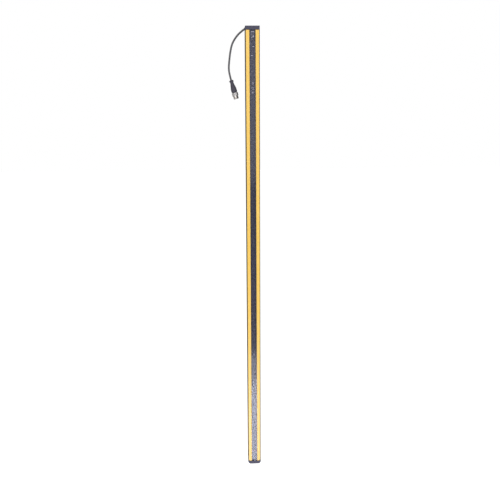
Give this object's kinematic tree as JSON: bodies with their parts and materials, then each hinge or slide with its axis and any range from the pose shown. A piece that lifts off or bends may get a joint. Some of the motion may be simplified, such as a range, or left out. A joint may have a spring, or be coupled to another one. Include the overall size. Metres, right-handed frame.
{
  "type": "safety light curtain",
  "caption": "Upright stick of a safety light curtain: slotted metal housing, tinted screen between yellow strips, dark end caps and a short side cable with a threaded plug.",
  "frame": {"origin": "middle of the flat back face", "axes": "+Z along the stick towards the cap with the cable, -Y out of the screen, +X to the right as the screen is looked at"},
  "size_m": [0.0704, 0.031, 1.063],
  "materials": {
    "housing": "dark anodised, fine satin",
    "strip": "safety yellow, semi-gloss",
    "screen": "smoke tinted, glossy",
    "seal": "black rubber",
    "cap": "fine grained black-grey",
    "screw": "zinc plated steel",
    "optics": "matt black",
    "lens": "clear moulding",
    "board": "solder mask green",
    "diode": "smoke clear",
    "guide": "frosted clear",
    "header": "natural white",
    "bush": "black rubber",
    "cable": "dark grey PUR sheath",
    "grip": "moulded black-grey",
    "insert": "black",
    "pin": "gold plated",
    "nut": "nickel plated"
  },
  "bodies": {
    "curtain": {"housing_profile": "housing", "front_strip_left": "strip", "front_strip_right": "strip", "front_screen": "screen", "screen_seal_left": "seal", "screen_seal_right": "seal", "indicator_block": "optics", "indicator_guides": "guide", "control_board": "board", "cable_header": "header", "top_end_cap": "cap", "bottom_end_cap": "cap", "top_gasket": "seal", "bottom_gasket": "seal", "top_cap_screws": "screw", "bottom_cap_screws": "screw", "cable_grommet": "bush", "cable": "cable", "connector_grip": "grip", "connector_insert": "insert", "contact_pins": "pin", "sealing_ring": "seal", "optics_block_1": "optics", "lens_strip_1": "lens", "circuit_board_1": "board", "beam_diodes_1": "diode", "optics_block_2": "optics", "lens_strip_2": "lens", "circuit_board_2": "board", "beam_diodes_2": "diode", "optics_block_3": "optics", "lens_strip_3": "lens", "circuit_board_3": "board", "beam_diodes_3": "diode", "optics_block_4": "optics", "lens_strip_4": "lens", "circuit_board_4": "board", "beam_diodes_4": "diode", "optics_block_5": "optics", "lens_strip_5": "lens", "circuit_board_5": "board", "beam_diodes_5": "diode", "optics_block_6": "optics", "lens_strip_6": "lens", "circuit_board_6": "board", "beam_diodes_6": "diode"},
    "coupling_nut": {"coupling_nut": "nut"}
  },
  "joints": [
    {"name": "nut_turn", "type": "hinge", "parent": "curtain", "child": "coupling_nut", "pos_m": [-0.03877, -0.01454, 0.38675], "axis": [0.2696, -0.0231, -0.9627], "continuous": true}
  ]
}
